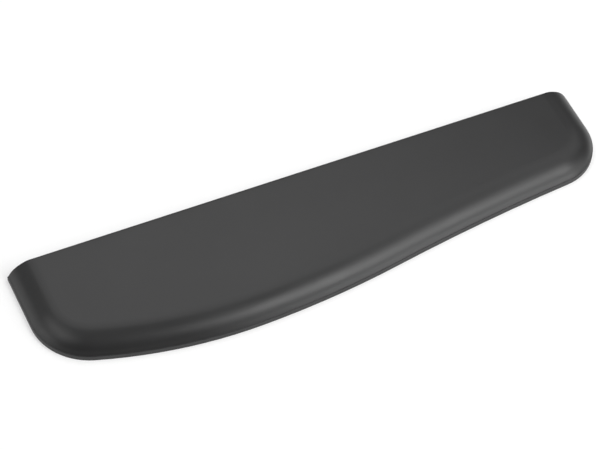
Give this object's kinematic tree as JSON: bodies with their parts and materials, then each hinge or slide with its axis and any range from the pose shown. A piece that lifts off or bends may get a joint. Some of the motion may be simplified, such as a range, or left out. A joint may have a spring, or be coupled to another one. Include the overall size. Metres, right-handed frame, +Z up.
{
  "type": "wrist rest",
  "caption": "Long low padded wrist rest with a straight rear edge, a flat top, rolled sides and a curved front edge that bulges towards the left, on a non-skid base.",
  "frame": {"origin": "centre of the footprint, on the surface that the rest lies on", "axes": "+X along the rest to the user's right, +Y from the user towards the keyboard, square to the straight rear edge, +Z up"},
  "size_m": [0.425, 0.1014, 0.015],
  "materials": {
    "cover_leatherette": "satin, fine grain, charcoal synthetic leather",
    "base_rubber": "matt black foamed rubber",
    "board_plastic": "moulded black plastic",
    "adhesive_film": "translucent acrylic adhesive film",
    "gel_film": "clear polyurethane film",
    "gel": "translucent soft polyurethane gel",
    "firm_foam": "firm open-cell polyurethane foam, treated as a light soft material",
    "soft_foam": "soft open-cell polyurethane foam, treated as a light soft material"
  },
  "bodies": {
    "root": {"non_skid_base": "base_rubber", "base_adhesive": "adhesive_film", "base_board": "board_plastic", "board_adhesive": "adhesive_film", "gel_film_lower": "gel_film", "gel_pad": "gel", "gel_film_upper": "gel_film", "foam_surround": "firm_foam", "comfort_foam": "soft_foam", "cover_skin": "cover_leatherette"}
  },
  "joints": []
}
